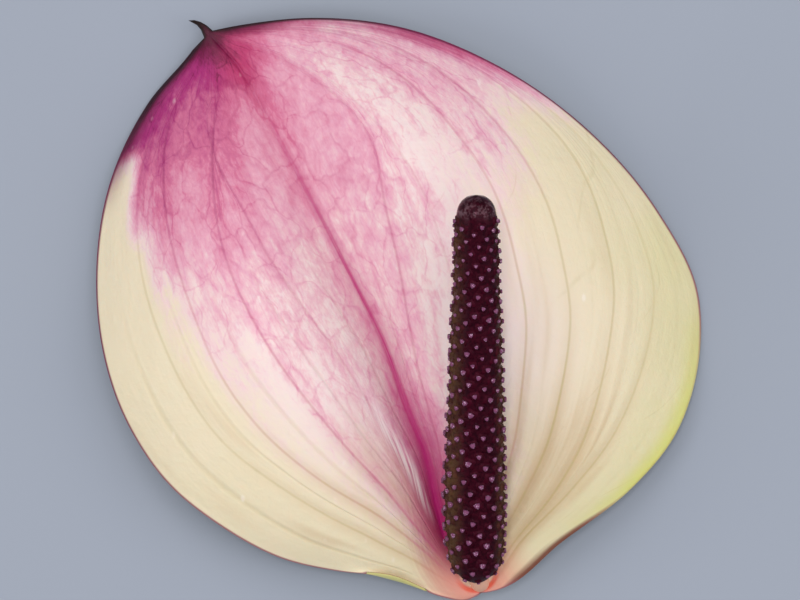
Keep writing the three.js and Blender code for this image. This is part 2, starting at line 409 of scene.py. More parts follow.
def bladeSurface(cfg, across, along):
    # the middle of the blade's thickness, in mm
    side = np.abs(across)
    spine = readRows(cfg["midrib"], along)
    left = readRows(cfg["leftMargin"], along)
    right = readRows(cfg["rightMargin"], along)
    edge = np.where((across < 0)[..., None], left, right)
    xy = spine[..., :2] + (edge[..., :2] - spine[..., :2]) * side[..., None]
    rise = np.clip(np.sin(np.pi * along), 0, 1)
    valley = 1 - np.exp(-((side / cfg["valleyHalfWidth"]) ** 2))
    arch = rise ** cfg["lobeRiseSlowness"] * np.sin(np.pi * side ** cfg["archPower"]) * valley
    foot = cfg["midrib"][0]
    fromFoot = np.hypot(xy[..., 0] - foot[1], xy[..., 1] - foot[2])
    below = 0.5 - 0.5 * (xy[..., 1] - foot[2]) / (fromFoot + 0.01)
    collar = below**2 * bell(fromFoot, cfg["collarRadius"], cfg["collarWidth"])
    wave = np.sin(2 * np.pi * cfg["marginWaves"] * along + across) * np.sin(np.pi * along)
    nearMargin = side ** cfg["marginPower"]
    z = (spine[..., 2] + (edge[..., 2] - spine[..., 2]) * side ** cfg["marginRoll"]
         + cfg["lobeRise"] * arch + cfg["collarRise"] * collar * (1 - nearMargin)
         + cfg["marginWave"] * wave * nearMargin)
    return np.concatenate([xy, z[..., None]], -1)


def curlMargin(cfg, points, across, along):
    # near the foot the left margin turns over and shows its back
    amount = bell(along, cfg["curlAlong"], cfg["curlWidth"]) * (across < -cfg["curlFrom"])
    t = np.clip((-across - cfg["curlFrom"]) / (1 - cfg["curlFrom"]), 0, 1)
    start = bladeSurface(cfg, np.full_like(across, -cfg["curlFrom"]), along)
    outward = points - start
    length = np.linalg.norm(outward, axis=-1, keepdims=True) + 1e-6
    turn = (cfg["curlTurn"] * t)[..., None]
    sideways = outward / length * (np.sin(turn) * cfg["curlSize"] + length * cfg["curlReach"])
    upwards = np.array([0, 0, 1.0]) * (1 - np.cos(turn)) * cfg["curlSize"] * cfg["curlLift"]
    rolled = start + sideways + upwards
    return points + (rolled - points) * amount[..., None]


def unitNormals(points):
    sideways = np.gradient(points, axis=1)
    lengthways = np.gradient(points, axis=0)
    normal = np.cross(sideways, lengthways)
    normal /= np.linalg.norm(normal, axis=-1, keepdims=True) + 1e-12
    return normal


def veinDistances(cfg, across, along):
    # signed distance in mm, across the blade, from each main vein and from the midrib
    left = readRows(cfg["leftMargin"], along)
    right = readRows(cfg["rightMargin"], along)
    edge = np.where((across < 0)[..., None], left, right)
    laneWidth = np.linalg.norm(edge - readRows(cfg["midrib"], along), axis=-1)
    distances = {"veinMid": across * laneWidth}
    for name, vein in veinSet.items():
        lane = readRows(vein["lane"], along)[..., 0]
        distances[name] = (across - lane) * laneWidth
    return distances, laneWidth


def veinLanes(across, along):
    # counts the main veins passed on the way from the left margin, with the parts between
    steps = [np.full_like(along, -1.0), np.zeros_like(along), np.ones_like(along)]
    steps += [readRows(vein["lane"], along)[..., 0] for vein in veinSet.values()]
    steps = np.sort(np.clip(np.stack(steps, -1), -1, 1), -1)
    narrowest = 0.004  # keeps two veins that meet from dividing by nothing
    gaps = np.maximum(np.diff(steps, axis=-1), narrowest)
    return np.clip((across[..., None] - steps[..., :-1]) / gaps, 0, 1).sum(-1)


def flushAmount(across, along):
    lanes = sorted(flushLanes)
    strengths = np.stack([np.interp(along, *zip(*flushLanes[lane])) for lane in lanes], -1)
    k = np.clip(np.searchsorted(lanes, across, side="right") - 1, 0, len(lanes) - 2)
    low = np.take_along_axis(strengths, k[..., None], -1)[..., 0]
    high = np.take_along_axis(strengths, (k + 1)[..., None], -1)[..., 0]
    laneArray = np.array(lanes)
    return low + (high - low) * smoothStep(laneArray[k], laneArray[k + 1], across)


def veinRelief(cfg, distances, along):
    # how deep the veins lie under the face, deepest near the foot and gone towards the tip
    width = cfg["veinWidth"] + cfg["veinWidthAtFoot"] * bell(along, 0.12, 0.16)
    depth = cfg["veinDepth"] + cfg["veinDepthAtFoot"] * bell(along, 0.2, 0.17)
    fade = smoothStep(0.02, 0.12, along) * (1 - smoothStep(0.74, 0.92, along))
    relief = 0.0
    for name, vein in veinSet.items():
        relief = relief + vein["strength"] * depth * np.exp(-((distances[name] / width) ** 2)) * fade
    midWidth = cfg["midWidth"] + cfg["midWidthAtFoot"] * (1 - along)
    midrib = np.exp(-((distances["veinMid"] / midWidth) ** 2)) * smoothStep(0.0, 0.08, along)
    return np.minimum(relief, cfg["deepestVein"]), cfg["midDepth"] * midrib


def roundEdge(middle, outward, normal, half, turns):
    # points round the blade's edge, from one face to the other
    return [middle + outward * half * math.cos(a) + normal * half * math.sin(a) for a in turns]


def edgeDirection(inner, outer):
    direction = outer - inner
    return direction / np.linalg.norm(direction, axis=-1, keepdims=True)


def bladeLoops(cfg, columns, rows):
    # one closed loop of points round the blade for each row
    across, along = np.meshgrid(columns, rows)
    middle = curlMargin(cfg, bladeSurface(cfg, across, along), across, along)
    normal = unitNormals(middle)
    distances, laneWidth = veinDistances(cfg, across, along)
    relief, midRelief = veinRelief(cfg, distances, along)
    fromRim = smoothStep(0, cfg["rimTaper"], (1 - np.abs(across)) * laneWidth)
    thickness = cfg["rimThickness"] + (cfg["thickness"] - cfg["rimThickness"]) * fromRim
    groove = cfg["grooveDepth"] * (relief + midRelief)
    ridge = cfg["ridgeHeight"] * (relief + cfg["midRidge"] * midRelief)
    top = middle + normal * (thickness / 2 - groove)[..., None]
    bottom = middle - normal * (thickness / 2 + ridge)[..., None]
    outLeft = edgeDirection(middle[:, 1], middle[:, 0])
    outRight = edgeDirection(middle[:, -2], middle[:, -1])
    loops = []
    for j in range(len(rows)):
        right = roundEdge(middle[j, -1], outRight[j], normal[j, -1], thickness[j, -1] / 2, rimTurns)
        left = roundEdge(middle[j, 0], outLeft[j], normal[j, 0], thickness[j, 0] / 2, rimTurns[::-1])
        loops.append(np.concatenate([top[j], right, bottom[j, ::-1], left]))
    return loops


def tailLoops(cfg, columns):
    # the tail keeps the same number of points round it as the blade
    sideways = np.array(cfg["tailSideways"])
    sideways = sideways / np.linalg.norm(sideways)
    loops = []
    for x, y, z, halfWidth, halfThickness in cfg["tail"]:
        centre = np.array([x, y, z])
        height = halfThickness * np.sqrt(np.clip(1 - columns**2, cfg["tailEdge"], 1))
        flat = centre + np.outer(columns * halfWidth, sideways)
        upper = flat + np.outer(height, [0, 0, 1])
        lower = flat - np.outer(height, [0, 0, 1])
        reach = sideways * halfWidth * cfg["tailRim"]
        steps = [np.array([0, 0, halfThickness * cfg["tailRimHeight"] * s]) for s in (1, 0, -1)]
        rightRim = [centre + reach + step for step in steps]
        leftRim = [centre - reach + step for step in steps[::-1]]
        loops.append(np.concatenate([upper, rightRim, lower[::-1], leftRim]))
    return loops


def loopFaces(loopCount, count):
    # quads between the loops, closed by a point at the foot and a point at the tail's end
    faces = []
    footIndex = loopCount * count
    last = (loopCount - 1) * count
    for j in range(loopCount - 1):
        for i in range(count):
            k = (i + 1) % count
            faces.append((j * count + i, j * count + k, (j + 1) * count + k, (j + 1) * count + i))
    for i in range(count):
        k = (i + 1) % count
        faces.append((footIndex, k, i))
        faces.append((last + i, last + k, footIndex + 1))
    return faces


def markBlade(cfg, mesh, points, across, along, back):
    # what the waxy material reads at each point of the blade
    distances, laneWidth = veinDistances(cfg, across, along)
    foot = cfg["midrib"][0][1:]
    neck = cfg["neckAt"]
    marks = {
        **distances,
        "rimDistance": (1 - np.abs(across)) * laneWidth,
        "flush": flushAmount(across, along),
        "back": back,
        "tail": smoothStep(cfg["bladeEnd"] - cfg["tailBlend"], 1.0, along),
        "fromFoot": np.hypot(points[:, 0] - foot[0], points[:, 1] - foot[1]),
        "fromNeck": np.hypot(points[:, 0] - neck[0], points[:, 1] - neck[1]),
        "lane": veinLanes(across, along),
        "along": along,
        "across": across,
    }
    for name, values in marks.items():
        storeFloat(mesh, name, values)


def makeSpathe(cfg, material):
    even = np.linspace(-1, 1, 2 * cfg["columnsPerLobe"] + 1)
    columns = np.sign(even) * np.abs(even) ** cfg["columnCrowding"]
    rows = cfg["bladeEnd"] * np.linspace(0, 1, cfg["rowsAlong"] + 1)[1:]
    tail = tailLoops(cfg, columns)
    loops = bladeLoops(cfg, columns, rows) + tail
    tailRows = cfg["bladeEnd"] + (1 - cfg["bladeEnd"]) * np.arange(1, len(tail) + 1) / len(tail)
    alongLoops = np.concatenate([rows, tailRows])
    ones = np.ones(len(columns))
    rimSide = np.ones(len(rimTurns))
    rimBack = np.array([0.1, 0.5, 0.9])  # from the face to the back
    acrossLoop = np.concatenate([columns, rimSide, columns[::-1], -rimSide])
    backLoop = np.concatenate([0 * ones, rimBack, ones, rimBack[::-1]])
    points = np.concatenate(loops + [[cfg["midrib"][0][1:]], [cfg["tailEnd"]]])
    faces = loopFaces(len(loops), len(acrossLoop))
    obj = addMesh("spatheBlade", (points + placeInRow) * mm, faces, material)
    across = np.concatenate([np.tile(acrossLoop, len(loops)), [0, 0]])
    along = np.concatenate([np.repeat(alongLoops, len(acrossLoop)), [0, 1]])
    back = np.concatenate([np.tile(backLoop, len(loops)), [0.5, 0]])
    markBlade(cfg, obj.data, points, across, along, back)
    return obj


spatheLook = {
    # the tan cream and the rosy brown are painted shade, the orange is a painted glow and the pale speck tone
    # is a painted highlight
    "cream": tone(229, 213, 184), "creamGreen": tone(216, 206, 160), "creamShade": tone(194, 164, 124),
    "lime": tone(206, 208, 90), "blush": tone(232, 202, 200), "white": tone(234, 212, 212),
    "pink": tone(223, 162, 180), "rose": tone(207, 114, 146), "crimson": tone(182, 60, 106),
    "magenta": tone(166, 44, 112), "plum": tone(100, 6, 52), "dark": tone(36, 4, 16),
    "midrib": tone(178, 12, 104), "midribFoot": tone(160, 14, 78),
    "olive": tone(184, 164, 108), "veinRosy": tone(204, 140, 146), "veinRose": tone(186, 84, 126),
    "veinPlum": tone(134, 34, 88), "coral": tone(228, 158, 138), "foldGlow": tone(222, 84, 58),
    "brown": tone(112, 58, 44), "rosyShade": tone(198, 148, 136), "rimRose": tone(158, 100, 106),
    "rimPlum": tone(112, 24, 66), "backGreen": tone(192, 192, 122), "backRib": tone(222, 216, 170),
    "backPink": tone(166, 80, 106), "tail": tone(30, 20, 16), "highlightTone": tone(246, 234, 228),
    # how large each pattern is: marks per metre, or per lane between veins and per blade length
    "patches": 95.0, "broad": 60.0, "lumps": 260.0, "mottle": 560.0, "mottleStretch": (1.0, 0.45, 1.0),
    "grain": 900.0, "sideBend": 48.0, "glintSpots": 175.0, "glintStretch": (1.5, 0.8, 1.0),
    "streaks": (1.7, 3.2, 1), "fineStreaks": (7.5, 9.0, 1), "hairs": (2.2, 7.0, 1),
    "bend": 150.0, "net": (1.9, 13.0, 0), "netBend": (0.85, 1.1, 0.0),
    "fineNet": (5.2, 34.0, 0), "fineNetBend": (1.5, 1.9, 0.0),
    "bumpHeight": 0.00026,
}


def bladePatterns(n, look):
    # where each point lies on the blade, and the patterns that follow its veins
    f = SimpleNamespace()
    f.place = n.objectPlace()
    f.along = n.attribute("along")
    f.across = n.attribute("across")
    f.lane = n.attribute("lane")
    f.rim = n.attribute("rimDistance")
    f.foot = n.attribute("fromFoot")
    f.back = n.attribute("back")
    f.flush = n.attribute("flush")
    f.side = n.math("ABSOLUTE", f.across)
    f.midDistance = n.math("ABSOLUTE", n.attribute("veinMid"))
    f.patches = n.noise(f.place, look["patches"], 3.0, 0.55)
    f.broad = n.noise(f.place, look["broad"], 2.0, 0.5)
    f.lumps = n.noise(f.place, look["lumps"], 2.0, 0.5)
    f.mottle = n.noise(n.scaled(n.leaned(f.place), look["mottleStretch"]), look["mottle"], 3.0, 0.75)
    laneSpace = n.pair(f.lane, f.along)
    f.streaks = n.noise(n.scaled(laneSpace, look["streaks"]), 1.0, 2.0, 0.45)
    fineStreaks = n.noise(n.scaled(laneSpace, look["fineStreaks"]), 1.0, 2.0, 0.6)
    f.fineStreaks = n.plus(0.5, n.centred(fineStreaks, n.span(f.along, 0.12, 0.45, 0.25, 1.0)))
    midSpace = n.pair(n.attribute("veinMid"), f.along)
    f.hairs = n.noise(n.scaled(midSpace, look["hairs"]), 1.0, 2.0, 0.6)
    # fine net of veins, longer than it is wide and bent by noise
    bend = n.noise(f.place, look["bend"], 2.0, 0.55, colour=True)
    net = n.addVectors(n.scaled(laneSpace, look["net"]), n.scaled(bend, look["netBend"]))
    f.netLines = n.span(n.cells(net, 1.0, "DISTANCE_TO_EDGE"), 0.0, 0.05, 1.0, 0.0)
    fineNet = n.addVectors(n.scaled(laneSpace, look["fineNet"]), n.scaled(bend, look["fineNetBend"]))
    f.fineLines = n.span(n.cells(fineNet, 1.0, "DISTANCE_TO_EDGE"), 0.0, 0.1, 1.0, 0.0)
    return f


def bladeVeins(n, f, look):
    # the main veins, and a soft glow on both sides of each
    f.veins, f.veinGlow = 0.0, 0.0
    for name, vein in veinSet.items():
        distance = n.math("ABSOLUTE", n.attribute(name))
        f.veins = n.math("MAXIMUM", f.veins, n.span(distance, 0.04, 0.42, vein["strength"], 0.0))
        f.veinGlow = n.math("MAXIMUM", f.veinGlow, n.span(distance, 0.1, 2.6, vein["strength"], 0.0))
    # a finer vein or crease halfway between each two main ones
    halfPlace = n.math("PINGPONG", n.plus(f.lane, n.centred(f.streaks, 0.16)), 0.5)
    f.halfVeins = n.times(
        n.span(halfPlace, 0.44, 0.495), n.span(f.along, 0.06, 0.16), n.span(f.along, 0.42, 0.7, 1.0, 0.0),
        n.span(f.across, -0.1, 0.3, 1.0, 0.22))
    # side veins that leave the main ones towards the right margin
    sideReach = n.math("SUBTRACT", n.times(f.along, 8.0), n.times(f.side, 3.3))
    sideBend = n.centred(n.noise(f.place, look["sideBend"], 1.0), 1.1)
    sidePlace = n.math("PINGPONG", n.plus(sideReach, sideBend), 0.5)
    f.sideVeins = n.times(
        n.span(sidePlace, 0.478, 0.499), n.span(f.patches, 0.45, 0.62), n.span(f.across, 0.1, 0.3))


def flushColour(n, f, look):
    # flush of magenta, broken into streaks and patches
    pull = n.plus(
        n.centred(f.streaks, n.span(f.along, 0.72, 0.92, 0.28, 0.14)), n.centred(f.patches, 0.22),
        n.centred(f.fineStreaks, 0.14), n.centred(f.mottle, 0.36), n.centred(f.hairs, 0.1),
        n.times(f.netLines, 0.05), n.times(f.fineLines, 0.03), n.times(f.veinGlow, 0.07))
    broken = n.times(n.span(f.flush, 0.0, 0.22, 0.1, 1.0), n.span(f.flush, 0.7, 0.95, 1.0, 0.35))
    rimBlush = n.times(
        n.span(f.rim, 0.0, 5.0, 0.3, 0.0), n.span(f.along, 0.58, 0.74), n.span(f.along, 0.78, 0.86, 1.0, 0.1),
        n.span(f.across, -0.2, 0.6, 0.0, 1.0))
    f.pinkness = n.math("ADD", n.plus(f.flush, rimBlush), n.times(pull, broken), clamp=True)
    colour = n.ramp(f.pinkness, [
        (0.0, look["cream"]), (0.07, look["cream"]), (0.2, look["blush"]), (0.36, look["pink"]),
        (0.56, look["rose"]),
    ])
    strong = n.mix(n.span(f.across, -0.5, -0.05), look["magenta"], look["crimson"])
    colour = n.mix(n.span(f.pinkness, 0.5, 0.84), colour, strong)
    return n.mix(n.span(f.pinkness, 0.82, 1.0), colour, look["plum"])


def creamShades(n, f, look, colour):
    # pinkish white between the streaks of the flush, greener cream towards the margins
    f.creamShare = n.span(f.pinkness, 0.1, 0.3, 1.0, 0.0)
    middleReach = n.span(f.along, 0.55, 0.8, 0.68, 1.0)
    middle = n.span(f.side, n.math("SUBTRACT", middleReach, 0.38), middleReach, 1.0, 0.0)
    middle = n.times(middle, n.span(f.along, 0.2, 0.42))
    colour = n.mix(n.times(middle, f.creamShare, 0.85), colour, look["white"])
    outer = n.times(n.span(f.rim, 0.0, 26.0, 1.0, 0.0), n.span(f.across, -0.4, 0.4, 0.35, 1.0))
    green = n.times(
        outer, f.creamShare, n.span(f.broad, 0.3, 0.7, 0.5, 1.0), n.span(f.along, 0.4, 0.68, 1.0, 0.12))
    colour = n.mix(green, colour, look["creamGreen"])
    # painted shade: soft tan shading in the furrows beside the veins, deepest near the foot
    furrow = n.times(n.span(f.streaks, 0.5, 0.72), n.span(f.along, 0.05, 0.62, 1.0, 0.1))
    furrow = n.math("MAXIMUM", furrow, n.times(f.veinGlow, n.span(f.along, 0.1, 0.5, 1.0, 0.0)))
    furrow = n.times(furrow, f.creamShare, n.span(f.across, -0.3, 0.35, 0.7, 0.85))
    colour = n.mix(furrow, colour, look["creamShade"])
    # painted shade: tan streaks right of the spadix's foot, where the folds and the spadix shade the blade
    footShadeLane = n.times(n.span(f.across, 0.34, 0.5), n.span(f.across, 0.6, 0.8, 1.0, 0.0))
    footShadeAlong = n.times(n.span(f.along, 0.05, 0.12), n.span(f.along, 0.2, 0.36, 1.0, 0.0))
    footShade = n.times(footShadeLane, footShadeAlong, n.span(f.fineStreaks, 0.3, 0.7, 0.35, 0.85), 0.8)
    colour = n.mix(footShade, colour, look["creamShade"])
    # a lime stretch of the right margin
    f.limeAlong = n.times(n.span(f.along, 0.1, 0.2), n.span(f.along, 0.27, 0.42, 1.0, 0.0))
    f.onRight = n.span(f.across, 0.0, 0.4)
    return n.mix(n.times(f.limeAlong, n.span(f.rim, 0.0, 5.5, 0.68, 0.0), f.onRight), colour, look["lime"])


def veinColours(n, f, look, colour):
    # painted shade: a rosy brown shaded furrow left of the midrib, near the foot
    rosyShadeLane = n.times(n.span(f.lane, 2.5, 3.2), n.span(f.lane, 3.7, 4.2, 1.0, 0.0))
    rosyShadeAlong = n.times(n.span(f.along, 0.04, 0.12), n.span(f.along, 0.2, 0.42, 1.0, 0.0))
    rosyFurrowShade = n.times(rosyShadeLane, rosyShadeAlong, n.span(f.fineStreaks, 0.3, 0.65, 0.3, 0.85))
    colour = n.mix(rosyFurrowShade, colour, look["rosyShade"])
    # veins: olive on cream, rose on pink
    veinTone = n.ramp(f.pinkness, [
        (0.06, look["olive"]), (0.2, look["veinRosy"]), (0.45, look["veinRose"]), (0.7, look["veinPlum"]),
        (0.9, look["plum"]),
    ])
    fade = n.times(n.span(f.along, 0.76, 0.93, 0.74, 0.0), n.span(f.streaks, 0.3, 0.7, 0.65, 1.0))
    main = n.times(f.veins, fade, n.span(f.along, 0.1, 0.45, 1.25, 0.85))
    thin = n.math("MAXIMUM", n.times(f.halfVeins, 0.2), n.times(f.sideVeins, 0.18))
    colour = n.mix(n.math("MAXIMUM", main, thin), colour, veinTone)
    net = n.times(
        f.netLines, n.span(f.patches, 0.35, 0.65, 0.35, 1.0), n.span(f.pinkness, 0.08, 0.5, 0.0, 0.2))
    return n.mix(net, colour, veinTone)


def midribColour(n, f, look, colour):
    # a strong magenta line whose glow spreads towards the foot
    midWide = n.span(f.along, 0.08, 0.62, 8.2, 1.6, smooth=False)
    frayed = n.plus(1.0, n.centred(f.hairs, n.span(f.along, 0.3, 0.55, 0.6, 0.2)))
    reach = n.math("DIVIDE", f.midDistance, n.times(midWide, frayed))
    glow = n.times(
        n.span(reach, 0.05, 1.35, 1.0, 0.0), n.span(f.along, 0.14, 0.5, 0.9, 0.36),
        n.span(f.along, 0.66, 0.86, 1.0, 0.1))
    glowTone = n.mix(n.span(f.along, 0.08, 0.3), look["midribFoot"], look["midrib"])
    colour = n.mix(glow, colour, glowTone)
    # painted highlight: a bright glossy streak on the crease left of it
    highlightLane = n.times(n.span(f.lane, 3.66, 3.98), n.span(f.lane, 4.04, 4.4, 1.0, 0.0))
    highlightAlong = n.times(n.span(f.along, 0.12, 0.2), n.span(f.along, 0.28, 0.46, 1.0, 0.0))
    creaseHighlight = n.times(highlightLane, highlightAlong, n.span(f.hairs, 0.35, 0.62, 0.12, 0.75))
    colour = n.mix(creaseHighlight, colour, look["highlightTone"])
    lineWide = n.span(f.along, 0.1, 0.6, 1.7, 0.6)
    line = n.span(f.midDistance, 0.12, lineWide, n.span(f.hairs, 0.25, 0.7, 0.6, 1.0), 0.0)
    return n.mix(n.times(line, n.span(f.along, 0.5, 0.88, 1.0, 0.06)), colour, look["midrib"])


def footColour(n, f, look, colour):
    # coral foot; a painted highlight in pale cream on the lip round the neck of the spadix, and an orange
    # painted glow of light shining through the fold outside it
    neckSide = n.attribute("fromNeck")
    colour = n.mix(n.span(f.foot, 3.0, 15.0, 0.8, 0.0), colour, look["coral"])
    fromLipHighlight = n.math("ABSOLUTE", n.math("SUBTRACT", neckSide, 3.1))
    fromGlowFold = n.math("ABSOLUTE", n.math("SUBTRACT", neckSide, 4.3))
    nearFoot = n.span(f.foot, 2.5, 7.0, 1.0, 0.0)
    colour = n.mix(n.times(n.span(fromGlowFold, 0.15, 0.8, 0.85, 0.0), nearFoot), colour, look["foldGlow"])
    return n.mix(n.times(n.span(fromLipHighlight, 0.2, 0.9, 0.85, 0.0), nearFoot), colour, look["cream"])


def rimColour(n, f, look, colour):
    # thin dark rim, broad and dark round the tip, brown on the right near the foot
    leftSide = n.span(f.across, -0.1, 0.5, 1.0, 0.25)
    plum = n.times(
        n.span(f.rim, 0.0, 5.0, 0.95, 0.0), n.span(f.along, 0.72, 0.84),
        n.math("MAXIMUM", leftSide, n.span(f.along, 0.88, 0.95)))
    colour = n.mix(plum, colour, look["plum"])
    brown = n.times(
        n.span(f.along, 0.015, 0.05), n.span(f.along, 0.1, 0.19, 1.0, 0.0), n.span(f.across, 0.0, 0.3))
    rimWide = n.plus(
        n.times(n.span(f.flush, 0.5, 1.0, 0.0, 1.2), n.span(f.across, -0.2, 0.3, 1.0, 0.3)), 0.26,
        n.span(f.along, 0.62, 0.85, 0.0, 0.24), n.times(brown, n.span(f.fineStreaks, 0.3, 0.7, 0.7, 1.7)))
    share = n.span(n.math("DIVIDE", f.rim, rimWide), 0.3, 1.8, 0.96, 0.0)
    share = n.times(share, n.span(n.times(f.limeAlong, f.onRight), 0.1, 0.9, 1.0, 0.25))
    rimTone = n.mix(n.span(f.along, 0.35, 0.6), look["rimRose"], look["rimPlum"])
    rimTone = n.mix(n.span(f.along, 0.76, 0.9), rimTone, look["dark"])
    return n.mix(share, colour, n.mix(brown, rimTone, look["brown"]))


def backColour(n, f, look, colour):
    # the back is greener, with pale ribs, and the tail is nearly black
    backTone = n.mix(n.span(f.pinkness, 0.2, 0.9), look["backGreen"], look["backPink"])
    backTone = n.mix(n.times(f.veins, 0.6), backTone, look["backRib"])
    colour = n.mix(n.times(n.span(f.back, 0.35, 0.65), 0.85), colour, backTone)
    return n.mix(n.attribute("tail"), colour, look["tail"])


def glintSpots(n, f, look, colour):
    # painted highlights: small pale glossy glints on the face
    spots = n.cells(n.scaled(f.place, look["glintStretch"]), look["glintSpots"], "F1")
    share = n.times(
        n.span(spots, 0.05, 0.16, 1.0, 0.0), n.span(f.patches, 0.5, 0.66, 0.0, 0.42),
        n.span(f.back, 0.1, 0.4, 1.0, 0.0))
    return n.mix(share, colour, look["highlightTone"])


def bladeHeight(n, f, look):
    grain = n.noise(f.place, look["grain"], 2.0, 0.6)
    raised = n.plus(
        n.times(grain, 0.5), n.times(f.streaks, 1.6), n.times(f.fineStreaks, 0.7), n.times(f.lumps, 1.5))
    return n.math("SUBTRACT", raised, n.times(f.halfVeins, 0.6))


def spatheMaterial(look):
    n = Nodes("waxyBlade")
    f = bladePatterns(n, look)
    bladeVeins(n, f, look)
    colour = flushColour(n, f, look)
    for layer in (creamShades, veinColours, midribColour, footColour, rimColour, backColour, glintSpots):
        colour = layer(n, f, look, colour)
    return n.finish(
        Base_Color=colour, Roughness=n.plus(n.times(f.mottle, 0.2), 0.34),
        Normal=n.bump(bladeHeight(n, f, look), look["bumpHeight"], 0.6),
        Subsurface_Weight=0.18, Subsurface_Radius=(0.9, 0.5, 0.35), Subsurface_Scale=0.0016,
        Coat_Weight=0.06, Coat_Roughness=0.2, Specular_IOR_Level=0.26, IOR=1.45,
    )


spadixSet = {
    # the line the spadix follows from its neck to its tip: x, y, z in mm
    "axis": [
        (15.9, -54.5, 8.9), (15.8, -54.0, 11.4), (15.5, -53.0, 13.5), (15.2, -51.4, 15.4),
        (15.0, -49.2, 16.9), (14.8, -43.5, 19.3), (14.7, -34.0, 22.8), (14.8, -22.0, 27.2),
        (14.8, -8.0, 32.4), (14.8, 6.0, 37.6), (14.7, 14.0, 40.5), (14.7, 17.6, 41.8), (14.6, 21.9, 43.3),
    ],
    # radius of the core along that line
    "radii": [
        (0.0, 2.0), (0.045, 1.8), (0.062, 2.0), (0.075, 2.9), (0.092, 4.1), (0.118, 5.05), (0.2, 5.6),
        (0.34, 5.55), (0.5, 5.1), (0.66, 4.7), (0.8, 4.25), (0.9, 4.05), (0.945, 3.95), (0.963, 3.75),
        (0.978, 3.3), (0.989, 2.6), (0.996, 1.6), (1.0, 0.25),
    ],
    "curveSteps": 16, "coreSteps": 150, "coreSides": 44,
    "florets": 405,
    "turn": 137.5078,  # degrees between one floret and the next
    "firstFloret": 0.082, "lastFloret": 0.95,
    "floretSize": 1.0,
    "fullSizeRadius": 5.4,  # mm, where the core is this thick a floret has its full size
    "sizePower": 0.75,
    "sizeSpread": 0.2,
    "spinSpread": 26.0,  # degrees either way
    "slopeStep": 0.01,  # how far up and down the line the core's slope is read
    "length": 82.0,  # mm
    "seed": 7,
}

# one floret, about 2.6 mm across, in mm, pointing up +Z
floretSet = {
    # four low tepals: corners of the outline, then rings by share of the outline, ridge and furrow height
    "outline": [
        (1.42, 0), (0.98, 0.98), (0, 1.42), (-0.98, 0.98), (-1.42, 0), (-0.98, -0.98), (0, -1.42),
        (0.98, -0.98),
    ],
    "tepalRings": [(1.0, -0.5, -0.5), (0.93, 0.05, -0.22), (0.55, 0.36, 0.06), (0.26, 0.34, 0.24)],
    "furrowPinch": 0.86,
    # raised stigma: radius, height and how pale it is
    "stigmaRings": [(0.44, 0.2, 0.3), (0.58, 0.5, 0.6), (0.46, 0.84, 1.0)],
    "stigmaSides": 6, "stigmaLobe": 1.12, "stigmaWaist": 0.84, "stigmaTop": 0.9,
}


def ringFaces(start, rings, sides):
    faces = []
    for ring in range(rings - 1):
        for k in range(sides):
            m = (k + 1) % sides
            a = start + ring * sides
            faces.append((a + k, a + m, a + sides + m, a + sides + k))
    return faces


def floretShape(cfg):
    verts, pale = [], []
    outline = cfg["outline"]
    for share, ridge, furrow in cfg["tepalRings"]:
        for k, (x, y) in enumerate(outline):
            pinch = 1.0 if k % 2 else cfg["furrowPinch"]  # every other corner is a furrow between tepals
            verts.append((x * share * pinch, y * share * pinch, ridge if k % 2 else furrow))
            pale.append(0.0)
    sides = cfg["stigmaSides"]
    start = len(verts)
    for radius, height, paleness in cfg["stigmaRings"]:
        for k in range(sides):
            angle = math.tau * k / sides
            lobe = radius * (cfg["stigmaLobe"] if k % 2 else cfg["stigmaWaist"])
            verts.append((lobe * math.cos(angle), lobe * math.sin(angle), height))
            pale.append(paleness)
    verts.append((0, 0, cfg["stigmaTop"]))
    pale.append(1.0)
    faces = ringFaces(0, len(cfg["tepalRings"]), len(outline))
    faces += ringFaces(start, len(cfg["stigmaRings"]), sides)
    top = len(verts) - 1
    faces += [(top - sides + k, top - sides + (k + 1) % sides, top) for k in range(sides)]
    mesh = bpy.data.meshes.new("floretShape")
    mesh.from_pydata([tuple(c * mm for c in v) for v in verts], [], faces)
    mesh.shade_smooth()
    storeFloat(mesh, "stigma", pale)
    obj = bpy.data.objects.new("floretShape", mesh)
    bpy.context.scene.collection.objects.link(obj)
    return obj


